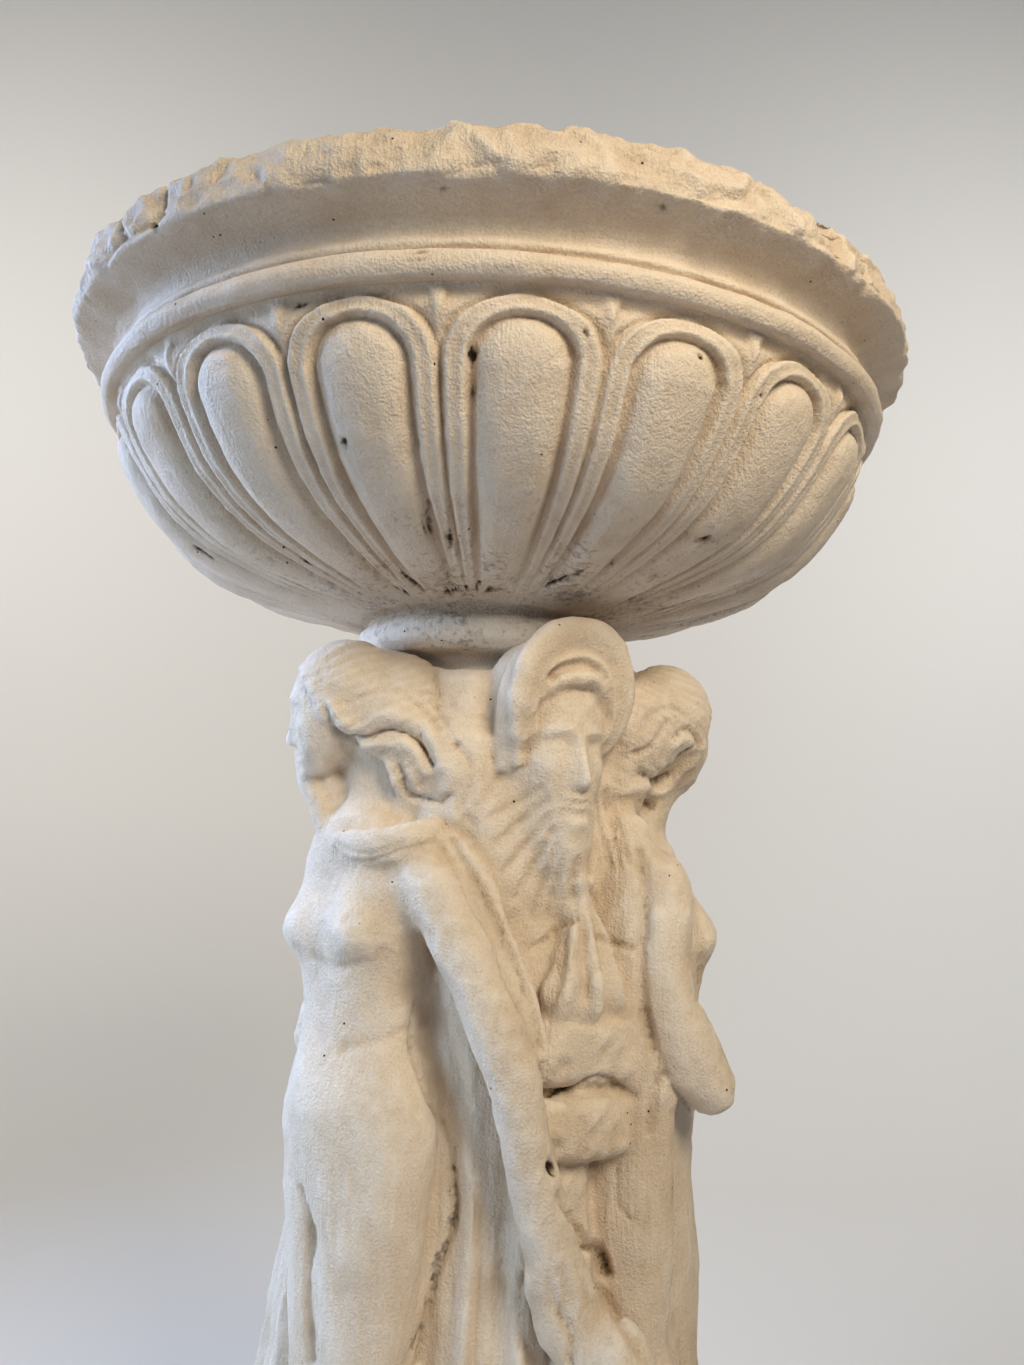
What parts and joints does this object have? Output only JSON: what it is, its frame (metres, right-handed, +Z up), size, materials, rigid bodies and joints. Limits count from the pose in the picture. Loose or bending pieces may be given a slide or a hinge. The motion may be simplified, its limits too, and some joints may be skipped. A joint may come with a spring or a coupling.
{
  "type": "planter statue",
  "caption": "Concrete planter: a wide gadrooned bowl with a rough lip, resting on a round pedestal of cloaked women with bearded hooded masks between them.",
  "frame": {"origin": "centre of the base's underside, on the ground", "axes": "+Z up along the pedestal's axis, -Y towards the side shown in the picture"},
  "size_m": [0.606, 0.606, 0.9373],
  "materials": {
    "painted_concrete": "matt cream paint worn over rough cast concrete"
  },
  "bodies": {
    "root": {"bowl": "painted_concrete", "pedestal": "painted_concrete"}
  },
  "joints": []
}
